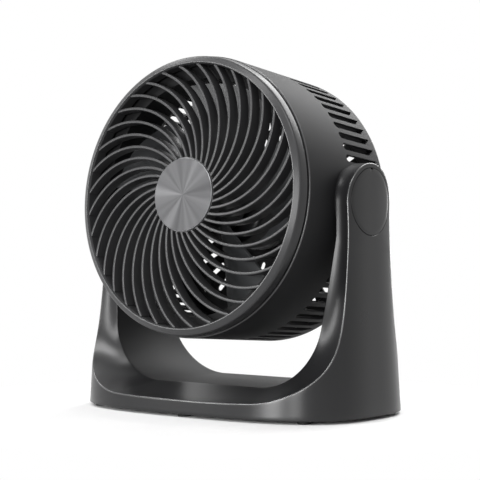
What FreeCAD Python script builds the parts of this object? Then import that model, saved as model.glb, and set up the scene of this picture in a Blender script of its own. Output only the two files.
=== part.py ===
import FreeCAD, Part
import math
import os
import re
import Sketcher
from FreeCAD import Placement, Rotation, Vector

# Personal desk fan: a drum head with a spiral front grille, tilting in a U-shaped stand.
# Millimetres. +Z is up, the air leaves towards -Y, and the origin lies on the floor under the
# middle of the stand. Head pieces are drawn on the fan's own axis: x to the right and y up as
# seen from the front, z forward, with the tilt pivot at the origin.
SIZES = {
    # stand: outer wall
    "pivot_height": 177.7,
    "rest_tilt": 4.84,
    "stand_half_width": 141.3,
    "stand_half_depth": 87.3,
    "footprint_power": 3.06,
    "waist_height": 60,
    "waist_inset": 3.0,
    "top_inset": 5.8,
    "stand_wall": 2.6,
    "foot_height": 2.6,
    # stand: channel that the head swings in
    "channel_floor": 24.5,
    "channel_corner_radius": 58,
    "channel_corner_reach": 54,
    "channel_lean": 7.3,
    "arm_inner_face": 121,
    "arm_head_radius": 31.8,
    # stand: swept lip between the channel and the outer wall
    "neck_half_depth": 31,
    "flare_height": 150,
    "crease_flare": 14,
    "crease_power": 1.27,
    "lip_floor": 14.4,
    "lip_corner_radius": 56,
    "lip_corner_reach": 75,
    "lip_flare": 40,
    "lip_power": 5.5,
    # stand: bottom cover, feet and screw posts
    "cover_thickness": 2.6,
    "cover_gap": 0.2,
    "foot_radius": 5.5,
    "foot_side_inset": 31.3,
    "foot_end_inset": 27.3,
    "middle_foot_inset": 10.3,
    "post_radius": 4.5,
    "post_reach": 66,
    "post_spread": 36,
    # pivot
    "pivot_radius": 12,
    "running_gap": 0.06,
    "web_thickness": 4,
    "washer_thickness": 0.8,
    "flange_radius": 20,
    "flange_thickness": 2.6,
    "face_gap": 0.1,
    "cap_radius": 27.6,
    "cap_gap": 0.25,
    "cap_clearance": 1.1,
    "boss_radius": 29,
    "boss_gap": 0.4,
    "boss_depth": 8.5,
    "socket_radius": 15.5,
    "socket_depth": 17,
    "pin_depth": 14,
    # drum housing
    "drum_front": 64.7,
    "drum_front_radius": 119.1,
    "drum_back": 52,
    "drum_back_radius": 117.4,
    "drum_edge_radius": 6,
    "drum_wall": 2.5,
    "back_opening_radius": 100,
    "spigot_radius": 115.4,
    "spigot_wall": 2.2,
    "spigot_front": 71,
    "slot_first_angle": 18,
    "slot_width": 6.2,
    "slot_front": 6,
    "slot_short_back": 33,
    "slot_long_back": 42,
    "slot_count": 29,
    # front grille
    "ring_crest": 77.5,
    "ring_crest_radius": 112,
    "ring_inner_radius": 110.6,
    "ring_outer_radius": 118,
    "ring_back": 70.3,
    "ring_edge_radius": 1.5,
    "ring_gap": 0.3,
    "grille_back": 66,
    "slat_count": 36,
    "slat_width": 2.3,
    "slat_bow_radius": 71.7,
    "slat_centre_across": 4.8,
    "slat_centre_up": 66,
    "slat_hub_front": 78.2,
    "slat_ring_front": 75.8,
    "hub_radius": 31.6,
    "hub_cap_radius": 31,
    "hub_cap_front": 79.5,
    "hub_cap_thickness": 2.6,
    "hub_cap_edge": 0.7,
    # air duct
    "duct_radius": 101,
    "duct_wall": 2,
    "duct_back": 18,
    "duct_bell": 5,
    # impeller
    "impeller_radius": 98.5,
    "impeller_hub_radius": 27,
    "impeller_front": 52,
    "impeller_back": 26,
    "blade_count": 5,
    "blade_middle": 38,
    "blade_thickness": 2.2,
    "blade_root_radius": 24,
    "blade_root_chord": 30,
    "blade_root_pitch": 52,
    "blade_tip_chord": 84,
    "blade_tip_pitch": 24,
    "blade_camber": 0.09,
    # motor
    "motor_radius": 37,
    "motor_front": 16,
    "motor_split_front": -3,
    "motor_split_back": -23,
    "motor_back": -38,
    "motor_wall": 2.4,
    "stator_bore_radius": 20.5,
    "rotor_gap": 0.5,
    "winding_height": 7,
    "winding_radius": 31,
    "bearing_radius": 8,
    "bearing_length": 9,
    "shaft_radius": 4,
    "shaft_front": 57,
    # rear cover, switch and knob
    "cover_dome": 4,
    "rear_cover_wall": 2.4,
    "rear_flange_radius": 109,
    "rear_fit_gap": 0.3,
    "mount_radius": 41,
    "inner_slot_start": 48,
    "inner_slot_end": 69,
    "outer_slot_start": 75,
    "outer_slot_end": 95,
    "rear_slot_width": 5,
    "switch_half_width": 11,
    "switch_front": -41.5,
    "switch_bush_radius": 4.6,
    "switch_shaft_radius": 3,
    "knob_radius": 15,
    "knob_front": -58.5,
    "knob_back": -76,
    "knob_disc_thickness": 8,
    "knob_bar_half_width": 3,
    "gland_radius": 7.5,
    "gland_bore_radius": 3.3,
    "gland_reach": 85,
    # screws
    "screw_radius": 1.5,
    "screw_head_radius": 3,
    "screw_head_height": 1.6,
    "screw_fit": 0.05,
    "rear_screw_reach": 104.5,
    "motor_screw_reach": 27,
}

doc = FreeCAD.newDocument("personal_fan")
sheet = doc.addObject("Spreadsheet::Sheet", "Sizes")
for row, (alias, amount) in enumerate(SIZES.items(), 1):
    sheet.set("A%d" % row, alias)
    sheet.set("B%d" % row, str(amount))
    sheet.setAlias("B%d" % row, alias)
doc.recompute()

nodes = []


def size(alias):
    """A size as the sheet holds it."""
    return float(sheet.get(alias))


def bound(text):
    """An expression in which each size points to its cell."""
    return re.sub(r"[a-z][a-z_]+", lambda word: "Sizes." + word[0] if word[0] in SIZES else word[0], text)


def number(text):
    """The value that an expression has now."""
    return float(sheet.evalExpression(bound(text)))


def dimension(sketch, kind, *items):
    """Adds a dimension whose last item is the expression that drives it."""
    index = sketch.addConstraint(Sketcher.Constraint(kind, *items[:-1], number(items[-1])))
    sketch.setExpression("Constraints[%d]" % index, bound(items[-1]))


def pin(sketch, geometry, end, x, y):
    """Fixes one point of a sketch by its two coordinates."""
    for kind, axis, text in (("DistanceX", -2, x), ("DistanceY", -1, y)):
        if text == "0":
            sketch.addConstraint(Sketcher.Constraint("PointOnObject", geometry, end, axis))
        else:
            dimension(sketch, kind, -1, 1, geometry, end, text)


def outline(sketch, corners):
    """Closed outline through corners (x, y) or, where rounded, (x, y, radius)."""
    count = len(corners)
    places = [Vector(number(corner[0]), number(corner[1]), 0) for corner in corners]
    entries, exits, centres = [], [], []
    for i, corner in enumerate(corners):
        reach, centre = 0, places[i]
        before = (places[i - 1] - places[i]).normalize()
        after = (places[(i + 1) % count] - places[i]).normalize()
        if len(corner) == 3:
            half = before.getAngle(after) / 2
            reach = number(corner[2]) / math.tan(half)
            centre = places[i] + (before + after).normalize() * (number(corner[2]) / math.sin(half))
        entries.append(places[i] + before * reach)
        exits.append(places[i] + after * reach)
        centres.append(centre)
    for i in range(count):
        sketch.addGeometry(Part.LineSegment(exits[i], entries[(i + 1) % count]))
    for i, corner in enumerate(corners):
        last = (i - 1) % count
        if len(corner) == 2:
            sketch.addConstraint(Sketcher.Constraint("Coincident", last, 2, i, 1))
            pin(sketch, i, 1, corner[0], corner[1])
            continue
        first, second = entries[i] - centres[i], exits[i] - centres[i]
        turns_left = first.cross(second).z > 0
        if not turns_left:
            first, second = second, first
        angles = [math.atan2(arm.y, arm.x) for arm in (first, second)]
        circle = Part.Circle(centres[i], Vector(0, 0, 1), number(corner[2]))
        arc = sketch.addGeometry(Part.ArcOfCircle(circle, angles[0], angles[1]))
        apex = sketch.addGeometry(Part.Point(places[i]), True)
        sketch.addConstraint(Sketcher.Constraint("Tangent", last, 2, arc, 1 if turns_left else 2))
        sketch.addConstraint(Sketcher.Constraint("Tangent", i, 1, arc, 2 if turns_left else 1))
        sketch.addConstraint(Sketcher.Constraint("PointOnObject", apex, 1, last))
        sketch.addConstraint(Sketcher.Constraint("PointOnObject", apex, 1, i))
        dimension(sketch, "Radius", arc, corner[2])
        pin(sketch, apex, 1, corner[0], corner[1])


def circles(sketch, *rounds):
    """Full circles (x, y, radius)."""
    for x, y, radius in rounds:
        middle = Vector(number(x), number(y), 0)
        index = sketch.addGeometry(Part.Circle(middle, Vector(0, 0, 1), number(radius)))
        dimension(sketch, "Radius", index, radius)
        pin(sketch, index, 3, x, y)


def new_body(label, whole=True):
    """An empty body, which is a node unless it is only the blank of one."""
    body = doc.addObject("PartDesign::Body", label)
    body.Label = label
    body.AllowCompound = True
    if whole:
        nodes.append(body)
    return body


def origin_of(body, role):
    return [item for item in body.Origin.OriginFeatures if item.Role == role][0]


def new_sketch(body, role, lift="0"):
    """Empty sketch on an origin plane, lifted off it."""
    sketch = body.newObject("Sketcher::SketchObject", "Sketch")
    sketch.AttachmentSupport = [(origin_of(body, role), "")]
    sketch.MapMode = "FlatFace"
    sketch.setExpression("AttachmentOffset.Base.z", bound(lift))
    return sketch


def spin(body, corners, kind="Revolution"):
    """Revolves an outline of radius and height about the body's z axis."""
    sketch = new_sketch(body, "XZ_Plane")
    outline(sketch, corners)
    feature = body.newObject("PartDesign::" + kind, kind)
    feature.Profile = sketch
    feature.ReferenceAxis = (sketch, ["V_Axis"])
    feature.Angle = 360
    doc.recompute()
    return feature


def push(body, sketch, kind, length, reverse=False):
    """Pads or pockets a sketch by a length."""
    feature = body.newObject("PartDesign::" + kind, kind)
    feature.Profile = sketch
    feature.setExpression("Length", bound(length))
    feature.Reversed = reverse
    doc.recompute()
    return feature


def ring_of(body, feature, count):
    """Repeats a feature all round the body's z axis."""
    pattern = body.newObject("PartDesign::PolarPattern", "Ring")
    pattern.Originals = [feature]
    pattern.Axis = (origin_of(body, "Z_Axis"), [""])
    pattern.Angle = 360
    pattern.setExpression("Occurrences", bound(count))
    body.Tip = pattern
    doc.recompute()
    return pattern


def both_sides(body, features):
    """Mirrors features from the right side to the left."""
    mirrored = body.newObject("PartDesign::Mirrored", "BothSides")
    mirrored.Originals = features
    mirrored.MirrorPlane = (origin_of(body, "YZ_Plane"), [""])
    body.Tip = mirrored
    doc.recompute()


def on_fan_axis(item):
    """Sets a piece on the tilted fan axis."""
    item.Placement = Placement(Vector(), Rotation(Vector(1, 0, 0), 90))
    item.setExpression("Placement.Base.z", bound("pivot_height"))
    item.setExpression("Placement.Rotation.Angle", bound("90 - rest_tilt"))
    return item


def on_pivot(item, side):
    """Sets a piece on the pivot axis, its z axis pointing out to one side."""
    item.Placement = Placement(Vector(), Rotation(Vector(0, side, 0), 90))
    item.setExpression("Placement.Base.z", bound("pivot_height"))
    return item


def turned(label, corners):
    """A body made by one revolved outline."""
    body = new_body(label)
    spin(body, corners)
    return body


def formed(label, shape):
    """A node for a form made of surfaces or for a group of screws."""
    item = doc.addObject("Part::Feature", label)
    item.Label = label
    item.Shape = shape
    nodes.append(item)
    return item


def slotted(label, body, cutters):
    """A body with a group of slots and holes cut out of it."""
    tool = doc.addObject("Part::Feature", label + "_slots")
    tool.Shape = Part.makeCompound(cutters)
    item = doc.addObject("Part::Cut", label)
    item.Label = label
    item.Base = body
    item.Tool = tool
    nodes.append(item)
    return item


def drill(body, lift, depth, reach, radius):
    """Four holes parallel to the axis, going back from a height, on the diagonals."""
    sketch = new_sketch(body, "XY_Plane", lift)
    for turn in (45, 135, 225, 315):
        circles(sketch, ("%s * cos(%d)" % (reach, turn), "%s * sin(%d)" % (reach, turn), radius))
    push(body, sketch, "Pocket", depth)


def screw_ring(length, reach, seat):
    """Four screws on the diagonals with their heads towards the back."""
    group = []
    for turn in (45, 135, 225, 315):
        one = screw(length)
        one.rotate(Vector(), Vector(1, 0, 0), 180)
        one.translate(Vector(reach, 0, seat))
        one.rotate(Vector(), Vector(0, 0, 1), turn)
        group.append(one)
    return Part.makeCompound(group)


def screw(length):
    """Cross-recess screw along z: seat at 0, head above it, shank below."""
    solid = Part.makeCylinder(size("screw_head_radius"), size("screw_head_height"))
    solid = solid.fuse(Part.makeCylinder(size("screw_radius"), length, Vector(0, 0, -length)))
    arm = size("screw_head_radius") * 0.7
    depth = size("screw_head_height") * 0.5
    for turn in (0, 90):
        slit = Part.makeBox(2 * arm, arm * 0.3, depth + 1, Vector(-arm, -arm * 0.15, depth))
        slit.rotate(Vector(), Vector(0, 0, 1), turn)
        solid = solid.cut(slit)
    return solid.removeSplitter()


def footprint(inset, height):
    """Superellipse wire of the stand, drawn in by an inset at a height."""
    across = size("stand_half_width") - inset
    deep = size("stand_half_depth") - inset
    power = size("footprint_power")
    points = []
    for step in range(48):
        angle = math.radians(7.5 * step)
        reach = (abs(math.cos(angle)) ** power + abs(math.sin(angle)) ** power) ** (-1 / power)
        points.append(Vector(across * math.cos(angle) * reach, deep * math.sin(angle) * reach, height))
    curve = Part.BSplineCurve()
    curve.interpolate(points, PeriodicFlag=True)
    return Part.Wire(curve.toShape())


def stand_block(inset):
    """Solid inside the stand's outer wall, drawn in by an inset."""
    top = size("pivot_height") + size("arm_head_radius")
    sections = [
        footprint(inset, size("foot_height")),
        footprint(inset + size("waist_inset"), size("waist_height")),
        footprint(inset + size("top_inset"), top),
    ]
    return Part.makeLoft(sections, True, False)


def channel(offset):
    """Prism of the U-shaped channel, its wall moved outwards into the stand by an offset."""
    radius = size("channel_corner_radius") + offset
    across = size("channel_corner_reach")
    up = size("channel_floor") + size("channel_corner_radius")
    lean = math.radians(size("channel_lean"))
    face = size("arm_inner_face") + offset
    top = size("pivot_height") + 2 * size("arm_head_radius")
    low = Vector(across, 0, up - radius)
    bend = Vector(across + radius * math.sin(math.pi / 4), 0, up - radius * math.cos(math.pi / 4))
    high = Vector(across + radius * math.cos(lean), 0, up - radius * math.sin(lean))
    knee = Vector(face, 0, high.z + (face - high.x) / math.tan(lean))
    crown = Vector(face, 0, top)
    other = [Vector(-point.x, 0, point.z) for point in (low, bend, high, knee, crown)]
    edges = [
        Part.makeLine(other[0], low),
        Part.Arc(low, bend, high).toShape(),
        Part.makeLine(high, knee),
        Part.makeLine(knee, crown),
        Part.makeLine(crown, other[4]),
        Part.makeLine(other[4], other[3]),
        Part.makeLine(other[3], other[2]),
        Part.Arc(other[2], other[1], other[0]).toShape(),
    ]
    profile = Part.Face(Part.Wire(edges))
    reach = 2 * size("stand_half_depth")
    profile.translate(Vector(0, -reach, 0))
    return profile.extrude(Vector(0, 2 * reach, 0))


def crease_depth(height):
    """Half depth of the channel's edge at a height."""
    share = max(0, (size("flare_height") - height) / (size("flare_height") - size("channel_floor")))
    return size("neck_half_depth") + size("crease_flare") * share ** size("crease_power")


def lip_depth(height):
    """Half depth of the lip's outer edge at a height."""
    share = max(0, (size("flare_height") - height) / (size("flare_height") - size("lip_floor")))
    return crease_depth(height) + size("lip_flare") * share ** size("lip_power")


def lip_stations():
    """Pairs of points on the channel's edge and on the lip's outer edge, from the middle to the top."""
    up = size("channel_floor") + size("channel_corner_radius")
    lip_up = size("lip_floor") + size("lip_corner_radius")
    lean = math.radians(size("channel_lean"))
    top = size("pivot_height") + 1.5 * size("arm_head_radius")
    pairs = []
    for share in (0, 0.4, 0.75):
        inner = (share * size("channel_corner_reach"), size("channel_floor"))
        outer = (share * size("lip_corner_reach"), size("lip_floor"))
        pairs.append((inner, outer))
    for step in range(7):
        angle = step / 6 * (math.pi / 2 - lean)
        inner = (size("channel_corner_reach") + size("channel_corner_radius") * math.sin(angle),
                 up - size("channel_corner_radius") * math.cos(angle))
        outer = (size("lip_corner_reach") + size("lip_corner_radius") * math.sin(angle),
                 lip_up - size("lip_corner_radius") * math.cos(angle))
        pairs.append((inner, outer))
    bend, lip_bend = pairs[-1]
    for share in (0.25, 0.5, 0.75, 1):
        height = bend[1] + share * (top - bend[1])
        lip_height = lip_bend[1] + share * (top - lip_bend[1])
        lean_in = min(bend[0] + (height - bend[1]) * math.tan(lean), size("arm_inner_face"))
        pairs.append(((lean_in, height), (lip_bend[0], lip_height)))
    return pairs


def lip_cutter():
    """Solid in front of the ruled lip surface that joins the channel's edge to the outer wall."""
    inner, outer = [], []
    for (x, z), (lip_x, lip_z) in lip_stations():
        near = Vector(x, -crease_depth(z), z)
        far = Vector(lip_x, -lip_depth(lip_z), lip_z)
        inner.append(near + (near - far) * 0.15)
        outer.append(far + (far - near) * 0.5)
    curves = []
    for points in (inner, outer):
        left = [Vector(-point.x, point.y, point.z) for point in points[:0:-1]]
        curve = Part.BSplineCurve()
        curve.interpolate(left + points)
        curves.append(curve.toShape())
    return Part.makeRuledSurface(curves[0], curves[1]).extrude(Vector(0, -2 * size("stand_half_depth"), 0))


def rear_twin(shape):
    return shape.mirror(Vector(), Vector(0, 1, 0))


def pivot_cylinder(radius, inner, outer, side):
    """Cylinder on the pivot axis between two distances from the middle plane."""
    start = Vector(side * inner, 0, size("pivot_height"))
    return Part.makeCylinder(radius, outer - inner, start, Vector(side, 0, 0))


wide = 2 * size("stand_half_width")
deep = 2 * size("stand_half_depth")
pivot_height = size("pivot_height")
stand_solid = stand_block(0)
lip = lip_cutter()

# base_shell: one moulded shell, floor and two arms, hollow from below
arm_head = size("arm_head_radius")
above = Part.makeBox(2 * wide, 2 * deep, 2 * arm_head, Vector(-wide, -deep, pivot_height))
round_top = Part.makeCylinder(arm_head, 2 * wide, Vector(-wide, 0, pivot_height), Vector(1, 0, 0))
shell = stand_solid.cut([channel(0), lip, rear_twin(lip), above.cut(round_top)])
wall = size("stand_wall")
core = stand_block(wall)
inner_lip = lip.translated(Vector(0, wall, -wall))
core_top = pivot_height - arm_head - wall
over_core = Part.makeBox(2 * wide, 2 * deep, 3 * arm_head, Vector(-wide, -deep, core_top))
core = core.cut([channel(wall), inner_lip, rear_twin(inner_lip), over_core])
shell = shell.cut(core)
cover_top = size("foot_height") + size("cover_thickness")
post_places = [(x * size("post_reach"), y * size("post_spread")) for x in (-1, 1) for y in (-1, 1)]
for x, y in post_places:
    post_height = size("channel_floor") - wall / 2 - cover_top
    shell = shell.fuse(Part.makeCylinder(size("post_radius"), post_height, Vector(x, y, cover_top)))
    hole = size("screw_radius") + size("screw_fit")
    shell = shell.cut(Part.makeCylinder(hole, 12, Vector(x, y, cover_top - 1)))
pocket_floor = size("arm_inner_face") + size("web_thickness")
for side in (-1, 1):
    pad = pivot_cylinder(arm_head, size("arm_inner_face"), wide, side).common(stand_solid)
    shell = shell.fuse(pad)
    shell = shell.cut(pivot_cylinder(size("cap_radius") + size("cap_gap"), pocket_floor, wide, side))
    bore = size("pivot_radius") + size("running_gap")
    shell = shell.cut(pivot_cylinder(bore, size("arm_inner_face") - 1, wide, side))
formed("base_shell", shell)

# base_cover: flat plate that closes the shell from below, with a hole for each screw
plate = Part.Face(footprint(wall + size("cover_gap"), size("foot_height")))
plate = plate.extrude(Vector(0, 0, size("cover_thickness")))
for x, y in post_places:
    plate = plate.cut(Part.makeCylinder(size("screw_radius") + size("screw_fit"), 9, Vector(x, y, 0)))
formed("base_cover", plate)

# feet: rubber pads under the cover, one at each corner and one in the middle of each long side
foot_across = "(stand_half_width - foot_side_inset)"
foot_along = "(stand_half_depth - foot_end_inset)"
middle_along = "(stand_half_depth - middle_foot_inset)"
feet = {
    "foot_front_left": ("-" + foot_across, "-" + foot_along),
    "foot_front_middle": ("0", "-" + middle_along),
    "foot_front_right": (foot_across, "-" + foot_along),
    "foot_rear_left": ("-" + foot_across, foot_along),
    "foot_rear_middle": ("0", middle_along),
    "foot_rear_right": (foot_across, foot_along),
}
for label, (x, y) in feet.items():
    foot = turned(label, [
        ("0", "0"),
        ("foot_radius - 0.6", "0"),
        ("foot_radius", "0.6"),
        ("foot_radius", "foot_height"),
        ("0", "foot_height"),
    ])
    foot.setExpression("Placement.Base.x", bound(x))
    foot.setExpression("Placement.Base.y", bound(y))

# cover_screws: four screws from below into the posts
screws = []
for x, y in post_places:
    one = screw(11)
    one.rotate(Vector(), Vector(1, 0, 0), 180)
    one.translate(Vector(x, y, size("foot_height")))
    screws.append(one)
formed("cover_screws", Part.makeCompound(screws))

# where the pivot pin's flange starts and ends, seen from the middle of the fan
flange_back = "arm_inner_face + web_thickness + washer_thickness + face_gap"
flange_end = flange_back + " + flange_thickness"

# arm caps: round lids flush with the arms' outer face, each with a small prying notch at the top
for side, label in ((-1, "arm_cap_left"), (1, "arm_cap_right")):
    cap_floor = number(flange_end + " + cap_clearance")
    cap = pivot_cylinder(size("cap_radius"), cap_floor, wide, side).common(stand_solid)
    notch = Part.makeBox(wide, 3.2, 3, Vector(0, -1.6, pivot_height + size("cap_radius") - 1.2))
    cap = cap.cut(notch.translated(Vector((side - 1) / 2 * wide, 0, 0)))
    formed(label, cap)

# friction washers on the arms' webs, and the flanged pivot pins that turn with the drum
for side, label in ((-1, "friction_washer_left"), (1, "friction_washer_right")):
    on_pivot(turned(label, [
        ("pivot_radius + 0.4", "arm_inner_face + web_thickness"),
        ("flange_radius", "arm_inner_face + web_thickness"),
        ("flange_radius", "arm_inner_face + web_thickness + washer_thickness"),
        ("pivot_radius + 0.4", "arm_inner_face + web_thickness + washer_thickness"),
    ]), side)
pin_face = "(arm_inner_face - pin_depth)"
for side, label in ((-1, "pivot_pin_left"), (1, "pivot_pin_right")):
    on_pivot(turned(label, [
        ("screw_radius + screw_fit", pin_face),
        ("pivot_radius", pin_face),
        ("pivot_radius", flange_back),
        ("flange_radius", flange_back),
        ("flange_radius", flange_end),
        ("screw_head_radius + 0.3", flange_end),
        ("screw_head_radius + 0.3", flange_end + " - screw_head_height"),
        ("screw_radius + screw_fit", flange_end + " - screw_head_height"),
    ]), side)

# pivot_screws: one through each pin into the drum's socket
socket_face = "(arm_inner_face - socket_depth)"
screws = []
seat = number(flange_end + " - screw_head_height")
for side in (-1, 1):
    one = screw(seat - number(socket_face) - 0.5)
    one.rotate(Vector(), Vector(0, 1, 0), 90 * side)
    one.translate(Vector(side * seat, 0, pivot_height))
    screws.append(one)
formed("pivot_screws", Part.makeCompound(screws))

# drum_housing: slightly tapered drum with a spigot for the grille and a turned-in back edge
drum = new_body("drum_blank", False)
spin(drum, [
    ("drum_front_radius", "drum_front"),
    ("spigot_radius", "drum_front"),
    ("spigot_radius", "spigot_front"),
    ("spigot_radius - spigot_wall", "spigot_front"),
    ("spigot_radius - spigot_wall", "drum_front - drum_wall"),
    ("drum_front_radius - drum_wall", "drum_front - drum_wall"),
    ("drum_back_radius - drum_wall", "drum_wall - drum_back", "drum_edge_radius - drum_wall"),
    ("back_opening_radius", "drum_wall - drum_back"),
    ("back_opening_radius", "-drum_back"),
    ("drum_back_radius", "-drum_back", "drum_edge_radius"),
])
# pivot bosses with a blind socket for the pin, alike on both sides
boss_face = "(arm_inner_face - boss_depth)"
boss_sketch = new_sketch(drum, "YZ_Plane", boss_face)
circles(boss_sketch, ("0", "0", "boss_radius"))
boss = push(drum, boss_sketch, "Pad", "boss_depth - boss_gap")
socket_sketch = new_sketch(drum, "YZ_Plane", socket_face)
circles(socket_sketch, ("0", "0", "socket_radius"))
socket = push(drum, socket_sketch, "Pad", "socket_depth - boss_depth + 1")
both_sides(drum, [boss, socket])
bore_sketch = new_sketch(drum, "YZ_Plane", pin_face)
circles(bore_sketch, ("0", "0", "pivot_radius"))
bore = push(drum, bore_sketch, "Pocket", "pin_depth", True)
pilot_sketch = new_sketch(drum, "YZ_Plane", socket_face)
circles(pilot_sketch, ("0", "0", "screw_radius + screw_fit"))
pilot = push(drum, pilot_sketch, "Pocket", "socket_depth - pin_depth + 1", True)
both_sides(drum, [bore, pilot])
# air slots round the back half, one set above and one below the pivots, each with a slanted end
half = size("slot_width") / 2
slot_floor = size("drum_back_radius") - 3 * size("drum_wall")
slot_points = [
    Vector(-half, slot_floor, size("slot_front") - half),
    Vector(0, slot_floor, size("slot_front")),
    Vector(half, slot_floor, size("slot_front") - half),
    Vector(half, slot_floor, -size("slot_short_back")),
    Vector(-half, slot_floor, -size("slot_long_back")),
]
slot_edges = [Part.Arc(*slot_points[:3]).toShape(), Part.makePolygon(slot_points[2:] + slot_points[:1])]
slot_prism = Part.Face(Part.Wire(slot_edges)).extrude(Vector(0, 6 * size("drum_wall"), 0))
slot_step = (180 - 2 * size("slot_first_angle")) / (size("slot_count") - 1)
cutters = []
for start in (size("slot_first_angle"), size("slot_first_angle") + 180):
    for index in range(int(size("slot_count"))):
        turn = start + index * slot_step - 90
        cutters.append(slot_prism.rotated(Vector(), Vector(0, 0, 1), turn))
for turn in (45, 135, 225, 315):
    through = Part.makeCylinder(size("screw_radius") + 0.2, 4 * size("drum_wall"))
    through.translate(Vector(size("rear_screw_reach"), 0, -size("drum_back") - size("drum_wall")))
    cutters.append(through.rotated(Vector(), Vector(0, 0, 1), turn))
on_fan_axis(slotted("drum_housing", drum, cutters))

# front_grille: 36 bowed slats between a domed hub and the outer ring
grille = new_body("front_grille")
slat_sketch = new_sketch(grille, "XY_Plane", "grille_back")
bow_centre = Vector(size("slat_centre_across"), size("slat_centre_up"), 0)
skirt_radius = "(spigot_radius - spigot_wall - ring_gap)"
slat_reach = ("(hub_cap_radius + hub_radius) / 2", "(ring_inner_radius + " + skirt_radius + ") / 2")
circles(slat_sketch, ("0", "0", slat_reach[0]), ("0", "0", slat_reach[1]))
slat_sketch.setConstruction(0, True)
slat_sketch.setConstruction(1, True)
ends = []
for sign in ("-", "+"):
    radius = "slat_bow_radius " + sign + " slat_width / 2"
    bow = Part.Circle(bow_centre, Vector(0, 0, 1), number(radius))
    angles = []
    for reach in slat_reach:
        meets = bow.intersectCC(Part.Circle(Vector(), Vector(0, 0, 1), number(reach)))
        point = max(meets, key=lambda place: place.X)
        angles.append(math.atan2(point.Y - bow_centre.y, point.X - bow_centre.x))
    arc = slat_sketch.addGeometry(Part.ArcOfCircle(bow, angles[0], angles[1]))
    pin(slat_sketch, arc, 3, "slat_centre_across", "slat_centre_up")
    dimension(slat_sketch, "Radius", arc, radius)
    slat_sketch.addConstraint(Sketcher.Constraint("PointOnObject", arc, 1, 0))
    slat_sketch.addConstraint(Sketcher.Constraint("PointOnObject", arc, 2, 1))
    edge = slat_sketch.Geometry[arc]
    ends.append((arc, edge.StartPoint, edge.EndPoint))
for end in (1, 2):
    line = slat_sketch.addGeometry(Part.LineSegment(ends[0][end], ends[1][end]))
    slat_sketch.addConstraint(Sketcher.Constraint("Coincident", line, 1, ends[0][0], end))
    slat_sketch.addConstraint(Sketcher.Constraint("Coincident", line, 2, ends[1][0], end))
slat = push(grille, slat_sketch, "Pad", "hub_cap_front - grille_back")
ring_of(grille, slat, "slat_count")
spin(grille, [
    ("0", "slat_hub_front"),
    ("hub_radius", "slat_hub_front"),
    ("ring_crest_radius", "slat_ring_front"),
    ("ring_crest_radius", "hub_cap_front + 5"),
    ("0", "hub_cap_front + 5"),
], "Groove")
spin(grille, [
    ("0", "grille_back"),
    ("hub_radius", "grille_back"),
    ("hub_radius", "slat_hub_front"),
    ("hub_cap_radius", "slat_hub_front"),
    ("hub_cap_radius", "hub_cap_front - hub_cap_thickness"),
    ("0", "hub_cap_front - hub_cap_thickness"),
])
spin(grille, [
    ("ring_inner_radius", "grille_back"),
    (skirt_radius, "grille_back"),
    (skirt_radius, "spigot_front"),
    ("spigot_radius + ring_gap", "spigot_front"),
    ("spigot_radius + ring_gap", "ring_back"),
    ("ring_outer_radius", "ring_back"),
    ("ring_outer_radius - 0.8", "ring_crest - 2.2", "ring_edge_radius"),
    ("ring_crest_radius", "ring_crest"),
    ("ring_inner_radius", "ring_crest - 2"),
])
on_fan_axis(grille)

# hub_cap: plain metal disc let into the hub
on_fan_axis(turned("hub_cap", [
    ("0", "hub_cap_front - hub_cap_thickness"),
    ("hub_cap_radius", "hub_cap_front - hub_cap_thickness"),
    ("hub_cap_radius", "hub_cap_front - hub_cap_edge"),
    ("hub_cap_radius - hub_cap_edge", "hub_cap_front"),
    ("0", "hub_cap_front"),
]))

# air_duct: shroud round the impeller with a flared inlet and a flange behind the drum's front step
flange_front = "drum_front - drum_wall"
on_fan_axis(turned("air_duct", [
    ("duct_radius", flange_front),
    ("duct_radius", "duct_back + 2 * duct_bell"),
    ("duct_radius + duct_bell", "duct_back"),
    ("duct_radius + duct_bell + duct_wall", "duct_back"),
    ("duct_radius + duct_wall", "duct_back + 2 * duct_bell + 1"),
    ("duct_radius + duct_wall", flange_front + " - duct_wall"),
    ("drum_front_radius - 2 * drum_wall", flange_front + " - duct_wall"),
    ("drum_front_radius - 2 * drum_wall", flange_front),
]))

# impeller: domed hub with wide cambered blades, trimmed to the duct
impeller = new_body("impeller")
blade_sections = []
for place, chord, pitch in (
    ("blade_root_radius", "blade_root_chord", "blade_root_pitch"),
    ("impeller_radius + 3", "blade_tip_chord", "blade_tip_pitch"),
):
    section = new_sketch(impeller, "YZ_Plane", place)
    along = (chord + " / 2 * cos(" + pitch + ")", chord + " / 2 * sin(" + pitch + ")")
    thick = ("blade_thickness / 2 * sin(" + pitch + ")", "blade_thickness / 2 * cos(" + pitch + ")")
    bulge = (chord + " * blade_camber * sin(" + pitch + ")", chord + " * blade_camber * cos(" + pitch + ")")
    outline(section, [
        ("%s + %s" % (along[0], thick[0]), "blade_middle + %s - %s" % (along[1], thick[1])),
        ("%s - %s" % (along[0], thick[0]), "blade_middle + %s + %s" % (along[1], thick[1])),
        ("-(%s) - %s" % (bulge[0], thick[0]), "blade_middle + %s + %s" % (bulge[1], thick[1]), chord),
        ("-(%s) - %s" % (along[0], thick[0]), "blade_middle - %s + %s" % (along[1], thick[1])),
        ("-(%s) + %s" % (along[0], thick[0]), "blade_middle - %s - %s" % (along[1], thick[1])),
        ("-(%s) + %s" % (bulge[0], thick[0]), "blade_middle + %s - %s" % (bulge[1], thick[1]), chord),
    ])
    blade_sections.append(section)
blade = impeller.newObject("PartDesign::AdditiveLoft", "Blade")
blade.Profile = blade_sections[0]
blade.Sections = [blade_sections[1]]
blade.Ruled = True
doc.recompute()
ring_of(impeller, blade, "blade_count")
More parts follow.
